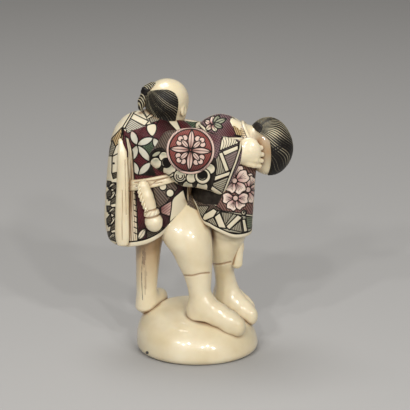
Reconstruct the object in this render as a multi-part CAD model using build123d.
# Okimono carving: two men in patterned robes on a smooth domed mound.
# The origin is the middle of the mound's underside, +Z is up and +Y points away from the viewer.
# The standing man, at -X, leans over the bowed man, at +X, and lays a hand on the nape of the other's neck.
# All sizes are in millimetres.
import os
from math import cos, radians, sin, sqrt, tau

from build123d import *

# Mound
MOUND_HALF_WIDTH = 12.1
MOUND_HALF_DEPTH = 11.3
MOUND_HEIGHT = 9.3
MOUND_DOME_RADIUS = 28.0
MOUND_APEX_X = -3.0
MOUND_APEX_Y = 3.0
MOUND_SHOULDER = 3.0
MOUND_FOOT_ROUND = 0.9

# Standing man: places are on the ground plan, lengths are along the body
STANDING_LEG = 20.7
STANDING_HIP_X = -6.6
STANDING_HIP_Y = -0.4
REAR_ANKLE_X = -10.4
REAR_ANKLE_Y = 0.9
FRONT_ANKLE_X = 0.2
FRONT_ANKLE_Y = -3.2
LEG_THICKNESS = 4.6
FRONT_FOOT_HEADING = -28.0
REAR_FOOT_HEADING = 34.0
FOOT_LENGTH = 11.4
FOOT_WIDTH = 4.4
FOOT_HEIGHT = 3.2
STANDING_ROBE_X = -9.7
STANDING_HEM_DROP = 5.6
STANDING_ROBE_HEIGHT = 25.0
STANDING_ROBE_WIDTH = 15.6
STANDING_ROBE_DEPTH = 12.4
STANDING_HEAD_WIDTH = 8.2
STANDING_HEAD_DEPTH = 8.6
STANDING_HEAD_HEIGHT = 9.2
STANDING_NECK = 2.0
TOPKNOT_LENGTH = 5.6
TOPKNOT_THICKNESS = 1.9

# Robe details of the standing man
SASH_HEIGHT = 2.1
SASH_PROUD = 0.45
SLEEVE_DROP = 27.7
SLEEVE_THICKNESS = 5.8
SLEEVE_BREADTH = 11.0
LINING_WIDTH = 3.3
LINING_DEPTH = 1.9
LINING_DROP = 23.4
CASE_LEAN = 11.0
CASE_LENGTH = 10.4
CASE_THICKNESS = 2.9
COLLAR_RING_HEIGHT = 0.9
COLLAR_RING_PROUD = 0.35
CORD_DIAMETER = 0.9
ARM_SLEEVE_FALL = 11.8
ARM_SLEEVE_DEPTH = 5.8
FAR_SLEEVE_FALL = 10.0
FAR_SLEEVE_DEPTH = 5.2
MEDALLION_DIAMETER = 9.2
MEDALLION_PROUD = 0.25
MEDALLION_TILT = 15.0
HAND_LENGTH = 4.4
HAND_WIDTH = 5.4
HAND_THICKNESS = 2.2
FINGER_LENGTH = 2.6
FINGER_THICKNESS = 1.25

# Bowed man
BOWED_LEG = 16.3
BOWED_HIP_X = 6.3
BOWED_HIP_Y = 0.3
NEAR_ANKLE_X = 5.6
NEAR_ANKLE_Y = 3.0
FAR_ANKLE_X = 5.5
FAR_ANKLE_Y = 7.2
BOWED_LEG_THICKNESS = 4.1
NEAR_FOOT_HEADING = -43.0
FAR_FOOT_HEADING = -38.0
BOWED_FOOT_LENGTH = 9.4
BOWED_FOOT_WIDTH = 4.0
BOWED_FOOT_HEIGHT = 2.8
BOWED_ROBE_HEIGHT = 23.0
BOWED_ROBE_WIDTH = 13.2
BOWED_ROBE_DEPTH = 12.2
BOWED_HEAD_REACH = 7.8
BOWED_HEAD_WIDTH = 8.6
BOWED_HEAD_DEPTH = 8.6
BOWED_HEAD_HEIGHT = 11.4
COLLAR_WIDTH = 7.4
COLLAR_THICKNESS = 1.2
ROBE_END_DROP = 7.4
ROBE_END_WIDTH = 2.6
ROBE_END_THICKNESS = 1.6

# Hair, pegs and fits
HAIR_THICKNESS = 0.4
NECK_THICKNESS = 5.2
PEG_DIAMETER = 1.5
PEG_REACH = 2.2
PEG_CLEARANCE = 0.05

# Places that follow from the sizes above
STANDING_HIP_Z = MOUND_HEIGHT + STANDING_LEG
STANDING_HEM_Z = STANDING_HIP_Z - STANDING_HEM_DROP
STANDING_TOP_Z = STANDING_HEM_Z + STANDING_ROBE_HEIGHT
BOWED_HEM_Z = MOUND_HEIGHT + BOWED_LEG
BOWED_TOP_Z = BOWED_HEM_Z + BOWED_ROBE_HEIGHT

RING_POINTS = 6


def ground(x, y):
    """The height of the mound's dome under a point of the ground plan."""
    run = (x - MOUND_APEX_X) ** 2 + (y - MOUND_APEX_Y) ** 2
    return MOUND_HEIGHT - MOUND_DOME_RADIUS + sqrt(MOUND_DOME_RADIUS**2 - run)


def ring(plane, half_width, half_depth):
    """A smooth closed section drawn on a plane."""
    turns = [tau * i / RING_POINTS for i in range(RING_POINTS)]
    points = [plane.from_local_coords(Vector(half_width * cos(a), half_depth * sin(a))) for a in turns]
    return Face(Wire([Edge.make_spline(points, periodic=True)]))


def swell(frame, width, depth, length, section_shares, proud=0):
    """A rounded body along a frame's Z. Each row of shares holds the place along the length, the shift across
    and back, the half width and the half depth, and then the section's lean in degrees."""
    rings = []
    for along, across, back, half_width, half_depth, lean in section_shares:
        middle = Vector(across * width, back * depth, along * length)
        if half_width:
            level = Plane(frame.location * Location(middle, (0, lean, 0)))
            rings.append(ring(level, half_width * width + proud, half_depth * depth + proud))
        else:
            rings.append(Vertex(*frame.from_local_coords(middle)))
    return loft(rings)


def limb(points, thickness, thickness_shares, side=(0, 1, 0)):
    """A rounded limb through points. Each share is the limb's half thickness there."""
    places = [Vector(*point) for point in points]
    rings = []
    for i, place in enumerate(places):
        before = places[max(i - 1, 0)]
        after = places[min(i + 1, len(places) - 1)]
        heading = (after - before).normalized()
        plane = Plane(place, x_dir=Vector(*side).cross(heading), z_dir=heading)
        half = thickness_shares[i] * thickness
        rings.append(ring(plane, half, half) if half else Vertex(*place))
    return loft(rings)


def clear(shape, *neighbours):
    """Cuts away from a piece the room that its neighbours take, so that they meet face to face."""
    for neighbour in neighbours:
        box = shape.bounding_box()
        other = neighbour.bounding_box()
        low = zip(tuple(box.min), tuple(other.max))
        high = zip(tuple(other.min), tuple(box.max))
        if all(a <= b for a, b in [*low, *high]):
            shape = shape - neighbour
    return shape


def egg(centre, width, depth, height):
    """An ellipsoid of the given overall sizes."""
    return Location(centre) * scale(Sphere(1), by=(width / 2, depth / 2, height / 2))


def peg(centre, direction, gap=0):
    """A dowel that reaches equally far to both sides of a joint face."""
    height = 2 * (PEG_REACH + gap)
    return Plane(centre, z_dir=direction) * Cylinder(PEG_DIAMETER / 2 + gap, height)


# Mound: an oval drum cut to a dome whose apex lies to the back left, with soft edges
drum = extrude(Ellipse(MOUND_HALF_WIDTH, MOUND_HALF_DEPTH), MOUND_HEIGHT)
dome_centre = (MOUND_APEX_X, MOUND_APEX_Y, MOUND_HEIGHT - MOUND_DOME_RADIUS)
mound = drum & Pos(*dome_centre) * Sphere(MOUND_DOME_RADIUS)
mound = fillet(mound.edges().filter_by(lambda edge: edge.center().Z > MOUND_SHOULDER), MOUND_SHOULDER)
mound = fillet(mound.edges().sort_by(Axis.Z)[0], MOUND_FOOT_ROUND)

# Robes: each hangs from the neck, draws in at the waist and flares to a slanting hem
STANDING_ROBE_SHARES = [
    (0.000, 0.000, 0.000, 0.430, 0.435, -24),
    (0.184, 0.058, 0.000, 0.449, 0.484, -14),
    (0.440, 0.135, 0.000, 0.474, 0.456, -4),
    (0.644, 0.160, 0.008, 0.500, 0.492, 0),
    (0.784, 0.150, 0.016, 0.472, 0.476, 4),
    (0.896, 0.100, 0.032, 0.375, 0.387, 10),
    (0.968, 0.070, 0.050, 0.240, 0.250, 16),
    (1.004, 0.050, 0.060, 0, 0, 0),
]
BOWED_ROBE_SHARES = [
    (0.000, 0.000, 0.000, 0.462, 0.467, 23),
    (0.210, 0.008, 0.000, 0.470, 0.500, 12),
    (0.410, -0.008, 0.000, 0.485, 0.500, 5),
    (0.605, -0.030, -0.008, 0.500, 0.500, 0),
    (0.780, -0.076, -0.016, 0.485, 0.459, 0),
    (0.895, -0.106, -0.016, 0.364, 0.344, 0),
    (0.970, -0.121, -0.016, 0.212, 0.205, 0),
    (1.000, -0.129, -0.016, 0, 0, 0),
]
standing_frame = Plane((STANDING_ROBE_X, 0, STANDING_HEM_Z))
standing_size = (STANDING_ROBE_WIDTH, STANDING_ROBE_DEPTH, STANDING_ROBE_HEIGHT)
standing_robe = swell(standing_frame, *standing_size, STANDING_ROBE_SHARES)
bowed_frame = Plane((BOWED_HIP_X, BOWED_HIP_Y, BOWED_HEM_Z))
bowed_size = (BOWED_ROBE_WIDTH, BOWED_ROBE_DEPTH, BOWED_ROBE_HEIGHT)
bowed_robe_full = swell(bowed_frame, *bowed_size, BOWED_ROBE_SHARES)
bowed_robe = bowed_robe_full - standing_robe

# Legs: a slim calf, a knee and a thigh that swells up into the robe
FRONT_LEG_SHARES = [
    (-0.03, 0.00, 0.50),
    (0.17, 0.00, 0.47),
    (0.33, 0.03, 0.58),
    (0.47, 0.12, 0.76),
    (0.58, 0.24, 0.96),
    (0.70, 0.38, 1.10),
    (0.88, 0.55, 1.16),
    (1.10, 0.80, 1.05),
]
REAR_LEG_SHARES = [
    (-0.04, 0.00, 0.50),
    (0.14, 0.02, 0.46),
    (0.42, 0.10, 0.53),
    (0.60, 0.18, 0.58),
    (0.80, 0.30, 0.76),
    (1.10, 0.50, 0.95),
]
BOWED_LEG_SHARES = [
    (-0.06, 0.00, 0.52),
    (0.22, 0.00, 0.50),
    (0.40, 0.05, 0.51),
    (0.60, 0.40, 0.66),
    (0.90, 0.80, 0.88),
    (1.25, 1.00, 1.05),
]
FOOT_SHARES = [
    (0.00, 0.00, 0.40, 0, 0, 0),
    (0.05, 0.00, 0.46, 0.30, 0.36, 0),
    (0.20, 0.00, 0.56, 0.44, 0.58, 0),
    (0.45, 0.00, 0.40, 0.42, 0.46, 0),
    (0.70, 0.02, 0.24, 0.50, 0.34, 0),
    (0.90, 0.03, 0.16, 0.43, 0.28, 0),
    (1.00, 0.04, 0.12, 0, 0, 0),
]
ANKLE_SHARE = 0.2


def foot(ankle_x, ankle_y, heading, length, width, height):
    """A foot on the dome, its heel behind the ankle and its toes towards a heading in degrees."""
    run = Vector(cos(radians(heading)), sin(radians(heading)))
    heel = Vector(ankle_x, ankle_y) - run * (ANKLE_SHARE * length)
    toe = heel + run * length
    heel = Vector(heel.X, heel.Y, ground(heel.X, heel.Y))
    toe = Vector(toe.X, toe.Y, ground(toe.X, toe.Y))
    frame = Plane(heel, x_dir=(-run.Y, run.X, 0), z_dir=toe - heel)
    return swell(frame, width, height, length, FOOT_SHARES)


def leg(ankle_x, ankle_y, hip, thickness, leg_shares):
    """A leg from the dome to the hip. A row holds the height, the way from ankle to hip and the half thickness."""
    low = ground(ankle_x, ankle_y)
    points = []
    for up, across, _ in leg_shares:
        x = ankle_x + (hip.X - ankle_x) * across
        y = ankle_y + (hip.Y - ankle_y) * across
        points.append((x, y, low + (hip.Z - low) * up))
    return limb(points, thickness, [row[2] for row in leg_shares])


standing_hip = Vector(STANDING_HIP_X, STANDING_HIP_Y, STANDING_HIP_Z)
bowed_hip = Vector(BOWED_HIP_X, BOWED_HIP_Y, BOWED_HEM_Z)
standing_foot = (FOOT_LENGTH, FOOT_WIDTH, FOOT_HEIGHT)
bowed_foot = (BOWED_FOOT_LENGTH, BOWED_FOOT_WIDTH, BOWED_FOOT_HEIGHT)
front_leg = leg(FRONT_ANKLE_X, FRONT_ANKLE_Y, standing_hip, LEG_THICKNESS, FRONT_LEG_SHARES)
front_leg += foot(FRONT_ANKLE_X, FRONT_ANKLE_Y, FRONT_FOOT_HEADING, *standing_foot)
rear_leg = leg(REAR_ANKLE_X, REAR_ANKLE_Y, standing_hip, LEG_THICKNESS, REAR_LEG_SHARES)
rear_leg += foot(REAR_ANKLE_X, REAR_ANKLE_Y, REAR_FOOT_HEADING, *standing_foot)
near_leg = leg(NEAR_ANKLE_X, NEAR_ANKLE_Y, bowed_hip, BOWED_LEG_THICKNESS, BOWED_LEG_SHARES)
near_leg += foot(NEAR_ANKLE_X, NEAR_ANKLE_Y, NEAR_FOOT_HEADING, *bowed_foot)
far_leg = leg(FAR_ANKLE_X, FAR_ANKLE_Y, bowed_hip, BOWED_LEG_THICKNESS, BOWED_LEG_SHARES)
far_leg += foot(FAR_ANKLE_X, FAR_ANKLE_Y, FAR_FOOT_HEADING, *bowed_foot)
robes = [standing_robe, bowed_robe_full]
front_leg = clear(front_leg, *robes, mound)
rear_leg = clear(rear_leg, standing_robe, mound, front_leg)
near_leg = clear(near_leg, bowed_robe_full, mound, front_leg)
far_leg = clear(far_leg, bowed_robe_full, mound, near_leg, front_leg)
far_leg = far_leg.solids().sort_by(SortBy.VOLUME)[-1]

# Far sleeve side of the standing man: a flat hanging bag with its open edge turned to the viewer
SLEEVE_SHARES = [
    (0.000, 0.000, 0.00, 0.328, 0.36, 0),
    (0.047, -0.086, 0.00, 0.448, 0.45, 0),
    (0.173, -0.120, 0.00, 0.500, 0.49, 0),
    (0.354, -0.112, 0.00, 0.491, 0.50, 0),
    (0.534, -0.069, 0.00, 0.466, 0.49, 0),
    (0.679, 0.009, 0.00, 0.474, 0.47, 0),
    (0.823, 0.181, 0.00, 0.543, 0.45, 0),
    (0.917, 0.397, 0.00, 0.534, 0.40, 0),
    (0.975, 0.534, 0.00, 0.397, 0.27, 0),
    (1.000, 0.552, 0.00, 0, 0, 0),
]
LINING_SHARES = [
    (0.00, 0.00, 0.00, 0.40, 0.30, 0),
    (0.08, 0.02, -0.20, 0.50, 0.50, 0),
    (0.30, -0.02, -0.42, 0.45, 0.50, 0),
    (0.55, -0.10, -0.47, 0.36, 0.50, 0),
    (0.82, -0.15, -0.30, 0.28, 0.46, 0),
    (0.96, -0.23, -0.10, 0.10, 0.25, 0),
    (1.00, -0.24, -0.05, 0, 0, 0),
]
SLEEVE_X_SHARE = -0.327
SLEEVE_LOW_SHARE = -0.128
sleeve_foot = Vector(
    STANDING_ROBE_X + SLEEVE_X_SHARE * STANDING_ROBE_WIDTH,
    0,
    STANDING_HEM_Z + SLEEVE_LOW_SHARE * STANDING_ROBE_HEIGHT,
)
sleeve_full = swell(Plane(sleeve_foot), SLEEVE_THICKNESS, SLEEVE_BREADTH, SLEEVE_DROP, SLEEVE_SHARES)
hanging_sleeve = clear(sleeve_full, standing_robe, rear_leg)
lining_foot = sleeve_foot + Vector(LINING_WIDTH / 8, -SLEEVE_BREADTH * 0.41, LINING_DEPTH / 4)
sleeve_lining = swell(Plane(lining_foot), LINING_WIDTH, LINING_DEPTH, LINING_DROP, LINING_SHARES)
sleeve_lining = clear(sleeve_lining, sleeve_full, standing_robe, rear_leg)

# Sleeves round the bowed man: swelling bags laid along +X, local X up and local Y towards the viewer
ARM_SLEEVE_SHARES = [
    (0.00, 0.49, 0.45, 0, 0, 0),
    (0.05, 0.49, 0.42, 0.15, 0.28, 0),
    (0.15, 0.57, 0.42, 0.33, 0.42, 0),
    (0.31, 0.47, 0.46, 0.47, 0.49, 0),
    (0.48, 0.48, 0.48, 0.48, 0.50, 0),
    (0.65, 0.42, 0.48, 0.47, 0.49, 0),
    (0.78, 0.35, 0.47, 0.50, 0.45, 0),
    (0.89, 0.47, 0.42, 0.32, 0.40, 0),
    (0.97, 0.58, 0.36, 0.17, 0.33, 0),
    (1.00, 0.59, 0.34, 0, 0, 0),
]
FAR_SLEEVE_SHARES = [
    (0.00, -0.70, 0.00, 0, 0, 0),
    (0.08, -0.68, 0.02, 0.30, 0.36, 0),
    (0.25, -0.62, 0.10, 0.44, 0.48, 0),
    (0.50, -0.50, 0.26, 0.50, 0.50, 0),
    (0.72, -0.42, 0.32, 0.50, 0.50, 0),
    (0.88, -0.46, 0.28, 0.40, 0.44, 0),
    (0.97, -0.55, 0.22, 0.22, 0.34, 0),
    (1.00, -0.57, 0.20, 0, 0, 0),
]
CUFF_X = BOWED_HIP_X + BOWED_ROBE_WIDTH * 0.19
SHOULDER_X = STANDING_ROBE_X + STANDING_ROBE_WIDTH * 0.04
ELBOW_Z = STANDING_TOP_Z - STANDING_ROBE_HEIGHT * 0.56
NEAR_SIDE_Y = -STANDING_ROBE_DEPTH * 0.25
arm_frame = Plane((SHOULDER_X, NEAR_SIDE_Y, ELBOW_Z), x_dir=(0, 0, 1), z_dir=(1, 0, 0))
arm_size = (ARM_SLEEVE_FALL, ARM_SLEEVE_DEPTH, CUFF_X - SHOULDER_X)
arm_solid = swell(arm_frame, *arm_size, ARM_SLEEVE_SHARES)
arm_sleeve = clear(arm_solid, *robes, sleeve_full)
far_frame = Plane((SHOULDER_X, -NEAR_SIDE_Y, ELBOW_Z), x_dir=(0, 0, -1), z_dir=(1, 0, 0))
far_size = (FAR_SLEEVE_FALL, FAR_SLEEVE_DEPTH, CUFF_X - SHOULDER_X)
far_solid = swell(far_frame, *far_size, FAR_SLEEVE_SHARES)
far_sleeve = clear(far_solid, *robes, sleeve_full)

# Medallion: a round plate that follows the swell of the arm sleeve
MEDALLION_ALONG_SHARE = 0.43
medallion_centre = arm_frame.from_local_coords(
    Vector(ARM_SLEEVE_FALL * 0.7, ARM_SLEEVE_DEPTH, (CUFF_X - SHOULDER_X) * MEDALLION_ALONG_SHARE)
)
medallion_way = Vector(0, -cos(radians(MEDALLION_TILT)), sin(radians(MEDALLION_TILT)))
medallion_plane = Plane(medallion_centre, z_dir=medallion_way)
medallion_rod = medallion_plane * Cylinder(MEDALLION_DIAMETER / 2, ARM_SLEEVE_DEPTH)
medallion_skin = swell(arm_frame, *arm_size, ARM_SLEEVE_SHARES, proud=MEDALLION_PROUD)
medallion = clear(medallion_rod, arm_solid, *robes) & medallion_skin
medallion = medallion.solids().sort_by(SortBy.VOLUME)[-1]

# Sash: a band round the waist of the standing robe
WAIST_SHARE = 0.5
SASH_SHARES = [
    (0.0, 0.141, 0.000, 0.477, 0.456, 0),
    (0.5, 0.143, 0.001, 0.480, 0.458, 0),
    (1.0, 0.145, 0.002, 0.482, 0.462, 0),
]
waist = Plane((STANDING_ROBE_X, 0, STANDING_HEM_Z + WAIST_SHARE * STANDING_ROBE_HEIGHT - SASH_HEIGHT / 2))
sash = swell(waist, STANDING_ROBE_WIDTH, STANDING_ROBE_DEPTH, SASH_HEIGHT, SASH_SHARES, proud=SASH_PROUD)
sash = clear(sash, standing_robe, sleeve_full, sleeve_lining, arm_solid, far_solid, bowed_robe_full)

# Hanging case: a slender case with a ring round its neck and a round end, hung from the sash by a cord
CASE_SHARES = [
    (0.00, 0.00, 0.00, 0.32, 0.32, 0),
    (0.05, 0.00, 0.00, 0.40, 0.40, 0),
    (0.30, 0.00, 0.00, 0.42, 0.42, 0),
    (0.58, 0.02, 0.00, 0.50, 0.48, 0),
    (0.68, 0.03, 0.00, 0.40, 0.40, 0),
    (0.82, 0.03, 0.00, 0.56, 0.52, 0),
    (0.94, 0.03, 0.00, 0.40, 0.40, 0),
    (1.00, 0.03, 0.00, 0, 0, 0),
]
case_top = Vector(
    STANDING_ROBE_X - STANDING_ROBE_WIDTH * 0.045,
    -STANDING_ROBE_DEPTH * 0.53,
    waist.origin.Z,
)
case_across = (cos(radians(CASE_LEAN)), 0, sin(radians(CASE_LEAN)))
case_down = (sin(radians(CASE_LEAN)), 0, -cos(radians(CASE_LEAN)))
case_frame = Plane(case_top, x_dir=case_across, z_dir=case_down)
case_solid = swell(case_frame, CASE_THICKNESS, CASE_THICKNESS, CASE_LENGTH, CASE_SHARES)
hanging_case = clear(case_solid, standing_robe, sash, front_leg)
RING_PLACE_SHARE = 0.63
ring_centre = case_frame.from_local_coords(Vector(0, 0, CASE_LENGTH * RING_PLACE_SHARE))
ring_frame = Plane(ring_centre, z_dir=case_frame.z_dir)
case_ring = ring_frame * extrude(Circle(CASE_THICKNESS / 2 + COLLAR_RING_PROUD), COLLAR_RING_HEIGHT)
case_ring = clear(case_ring, case_solid, standing_robe)
cord_start = case_top + Vector(-CASE_THICKNESS * 0.46, -CORD_DIAMETER * 0.3, -CORD_DIAMETER * 0.1)
cord_end = cord_start + case_frame.z_dir * (CASE_LENGTH * 0.4)
case_cord = limb([cord_start, (cord_start + cord_end) / 2, cord_end], CORD_DIAMETER, [0.5, 0.5, 0.5])
case_cord = clear(case_cord, case_solid, standing_robe, sash)

# Heads: an oval skull, a jaw towards the hidden side and a neck that seats on the robe
head_centre = Vector(
    STANDING_ROBE_X + STANDING_ROBE_WIDTH * 0.245,
    STANDING_ROBE_DEPTH * 0.08,
    STANDING_TOP_Z + STANDING_NECK - STANDING_HEAD_HEIGHT * 0.04,
)
JAW_SHARE = 0.74
skull_size = Vector(STANDING_HEAD_WIDTH, STANDING_HEAD_DEPTH, STANDING_HEAD_HEIGHT)
jaw_centre = head_centre + Vector(skull_size.X * 0.12, skull_size.Y * 0.16, -skull_size.Z * 0.24)
neck_foot = head_centre + Vector(-skull_size.X * 0.03, -skull_size.Y * 0.03, -skull_size.Z * 0.6)
standing_skull = egg(head_centre, *skull_size)
standing_jaw = egg(jaw_centre, *(skull_size * JAW_SHARE))
standing_neck = limb([neck_foot, (neck_foot + head_centre) / 2, head_centre], NECK_THICKNESS, [0.5, 0.5, 0.5])
upper_cloth = [standing_robe, bowed_robe_full, sleeve_full, arm_solid, far_solid]
standing_head = clear(standing_skull + standing_jaw + standing_neck, *upper_cloth)

bowed_head_centre = Vector(
    BOWED_HIP_X + BOWED_HEAD_REACH,
    BOWED_HIP_Y - BOWED_HEAD_DEPTH * 0.05,
    BOWED_TOP_Z - BOWED_ROBE_HEIGHT * 0.29,
)
nape = Vector(
    BOWED_HIP_X + BOWED_ROBE_WIDTH * 0.2,
    BOWED_HIP_Y,
    BOWED_TOP_Z - BOWED_ROBE_HEIGHT * 0.23,
)
bowed_skull = egg(bowed_head_centre, BOWED_HEAD_WIDTH, BOWED_HEAD_DEPTH, BOWED_HEAD_HEIGHT)
bowed_neck = limb([nape, (nape + bowed_head_centre) / 2, bowed_head_centre], NECK_THICKNESS, [0.55, 0.5, 0.5])
collar_plane = Plane(nape + Vector(COLLAR_THICKNESS, 0, 0), x_dir=(-0.45, 0, 0.9), z_dir=(0.9, 0, 0.45))
collar = loft(
    [
        ring(collar_plane.offset(-COLLAR_THICKNESS), COLLAR_WIDTH * 0.5, COLLAR_WIDTH * 0.56),
        ring(collar_plane, COLLAR_WIDTH * 0.5, COLLAR_WIDTH * 0.54),
        ring(collar_plane.offset(COLLAR_THICKNESS), COLLAR_WIDTH * 0.42, COLLAR_WIDTH * 0.46),
    ]
)
bowed_collar = clear(collar, bowed_robe_full, arm_solid, far_solid)
bowed_head = clear(bowed_skull + bowed_neck, bowed_robe_full, collar, arm_solid, far_solid)


def hair_cap(skull_centre, width, depth, height, facing, depth_share):
    """A thin cap over the part of a skull that lies beyond a plane across it."""
    grow = 2 * HAIR_THICKNESS
    shell = egg(skull_centre, width + grow, depth + grow, height + grow)
    cut = Plane(skull_centre + Vector(*facing).normalized() * (width / 2 * depth_share), z_dir=facing)
    reach = max(width, depth, height) * 2
    return shell & cut * Pos(0, 0, reach / 2) * Box(reach, reach, reach)


standing_hair = hair_cap(
    head_centre, STANDING_HEAD_WIDTH, STANDING_HEAD_DEPTH, STANDING_HEAD_HEIGHT, (-0.45, -0.7, -0.55), 0.42
)
standing_hair = clear(standing_hair, standing_skull, standing_neck, *upper_cloth)
bowed_hair = hair_cap(
    bowed_head_centre, BOWED_HEAD_WIDTH, BOWED_HEAD_DEPTH, BOWED_HEAD_HEIGHT, (0.8, -0.5, 0.2), 0.02
)
bowed_hair = clear(bowed_hair, bowed_skull, bowed_robe_full)

# Topknot: a lock folded over the back of the head, tied once and hanging to the left
TOPKNOT_PATH_SHARES = [
    (-0.36, 0.00, 0.80),
    (-0.62, -0.05, 0.73),
    (-0.73, -0.08, 0.48),
    (-0.86, -0.12, 0.22),
    (-0.94, -0.14, -0.05),
]
topknot_points = [
    head_centre + Vector(x * TOPKNOT_LENGTH, y * TOPKNOT_LENGTH, z * TOPKNOT_LENGTH)
    for x, y, z in TOPKNOT_PATH_SHARES
]
topknot = limb(topknot_points, TOPKNOT_THICKNESS, [0.42, 0.5, 0.36, 0.4, 0.26])
topknot = clear(topknot, standing_head, standing_hair)

# Hands: a palm and four fingers laid side by side, each cleared of its neighbours before they are joined
PALM_SHARE = 0.62
FINGER_SHARES = [-0.36, -0.12, 0.12, 0.36]
FINGER_TAPER_SHARES = [0.5, 0.5, 0.4]


def hand(wrist, along, across, neighbours):
    """A flat hand from the wrist, with the fingers side by side and the thumb hidden under the palm."""
    reach = Vector(*along).normalized()
    side = Vector(*across).normalized()
    palm_length = HAND_LENGTH * PALM_SHARE
    frame = Plane(wrist + reach * (palm_length / 2), x_dir=side, z_dir=reach)
    shape = clear(frame * scale(Sphere(1), by=(HAND_WIDTH / 2, HAND_THICKNESS / 2, palm_length)), *neighbours)
    for place in FINGER_SHARES:
        root = wrist + reach * palm_length + side * (place * HAND_WIDTH)
        tip = root + reach * FINGER_LENGTH
        finger = limb([root, (root + tip) / 2, tip], FINGER_THICKNESS, FINGER_TAPER_SHARES, side=side)
        shape += clear(finger, *neighbours)
    return shape


CUFF_DEPTH_SHARE = 0.34
CUFF_HEIGHT_SHARE = 0.6
NEAR_HAND_WAY = (1, 0.22, -0.1)
FAR_HAND_WAY = (1, -0.2, -0.1)
KNUCKLE_WAY = (0.1, 0, 1)
near_cuff = Vector(
    CUFF_X,
    NEAR_SIDE_Y - ARM_SLEEVE_DEPTH * CUFF_DEPTH_SHARE,
    ELBOW_Z + ARM_SLEEVE_FALL * CUFF_HEIGHT_SHARE,
)
far_cuff = Vector(
    CUFF_X,
    -NEAR_SIDE_Y + FAR_SLEEVE_DEPTH * CUFF_DEPTH_SHARE / 2,
    ELBOW_Z + FAR_SLEEVE_FALL * CUFF_HEIGHT_SHARE,
)
around_hands = [bowed_robe_full, arm_solid, far_solid, collar, bowed_skull, bowed_hair]
near_hand = hand(near_cuff, NEAR_HAND_WAY, KNUCKLE_WAY, around_hands)
far_hand = hand(far_cuff, FAR_HAND_WAY, KNUCKLE_WAY, around_hands)

# Robe end: a fold of the bowed man's robe that hangs between his legs
END_SHARES = [
    (0.0, 0.05, 0.0, 0.36, 0.4, 0),
    (0.2, 0.00, 0.0, 0.48, 0.5, 0),
    (0.6, 0.00, 0.0, 0.42, 0.5, 0),
    (1.2, 0.00, 0.0, 0.50, 0.5, 0),
]
end_foot = Vector(BOWED_HIP_X + BOWED_ROBE_WIDTH * 0.12, BOWED_HIP_Y + BOWED_ROBE_DEPTH * 0.05, BOWED_HEM_Z)
end_frame = Plane(end_foot - Vector(0, 0, ROBE_END_DROP + ROBE_END_WIDTH / 2))
robe_end = swell(end_frame, ROBE_END_WIDTH, ROBE_END_THICKNESS, ROBE_END_DROP, END_SHARES)
robe_end = clear(robe_end, bowed_robe_full, near_leg, far_leg, front_leg)

# Pegs: one dowel from each foot into the mound and one from each neck into the robe
ankles = [
    (FRONT_ANKLE_X, FRONT_ANKLE_Y),
    (REAR_ANKLE_X, REAR_ANKLE_Y),
    (NEAR_ANKLE_X, NEAR_ANKLE_Y),
    (FAR_ANKLE_X, FAR_ANKLE_Y),
]
foot_seats = [Vector(x, y, ground(x, y)) for x, y in ankles]
foot_pegs = [peg(seat, (0, 0, 1)) for seat in foot_seats]
foot_sockets = [peg(seat, (0, 0, 1), PEG_CLEARANCE) for seat in foot_seats]
neck_seats = [(Vector(head_centre.X, head_centre.Y, STANDING_TOP_Z), (0, 0, 1))]
neck_seats.append((Vector(BOWED_HIP_X + BOWED_ROBE_WIDTH * 0.4, nape.Y, nape.Z), (1, 0, 0)))
neck_pegs = [peg(seat, way) for seat, way in neck_seats]
neck_sockets = [peg(seat, way, PEG_CLEARANCE) for seat, way in neck_seats]
for socket in foot_sockets:
    mound -= socket
front_leg -= foot_sockets[0]
rear_leg -= foot_sockets[1]
near_leg -= foot_sockets[2]
far_leg -= foot_sockets[3]
standing_head -= neck_sockets[0]
standing_robe -= neck_sockets[0]
bowed_head -= neck_sockets[1]
bowed_robe -= neck_sockets[1]
bowed_collar -= neck_sockets[1]

NODES = {
    "mound": mound,
    "standing_front_leg": front_leg,
    "standing_rear_leg": rear_leg,
    "bowed_near_leg": near_leg,
    "bowed_far_leg": far_leg,
    "standing_robe": standing_robe,
    "standing_hanging_sleeve": hanging_sleeve,
    "standing_sleeve_lining": sleeve_lining,
    "standing_arm_sleeve": arm_sleeve,
    "standing_far_sleeve": far_sleeve,
    "arm_medallion": medallion,
    "standing_sash": sash,
    "hanging_case": hanging_case,
    "case_ring": case_ring,
    "case_cord": case_cord,
    "standing_near_hand": near_hand,
    "standing_far_hand": far_hand,
    "standing_head": standing_head,
    "standing_hair": standing_hair,
    "standing_topknot": topknot,
    "bowed_robe": bowed_robe,
    "bowed_collar": bowed_collar,
    "bowed_robe_end": robe_end,
    "bowed_head": bowed_head,
    "bowed_hair": bowed_hair,
    "foot_pegs": Compound(foot_pegs),
    "neck_pegs": Compound(neck_pegs),
}

os.makedirs("parts", exist_ok=True)
for name, shape in NODES.items():
    solids = shape.solids()
    print(name, len(solids), round(sum(solid.volume for solid in solids), 2))
    export_step(shape, f"parts/{name}.step")
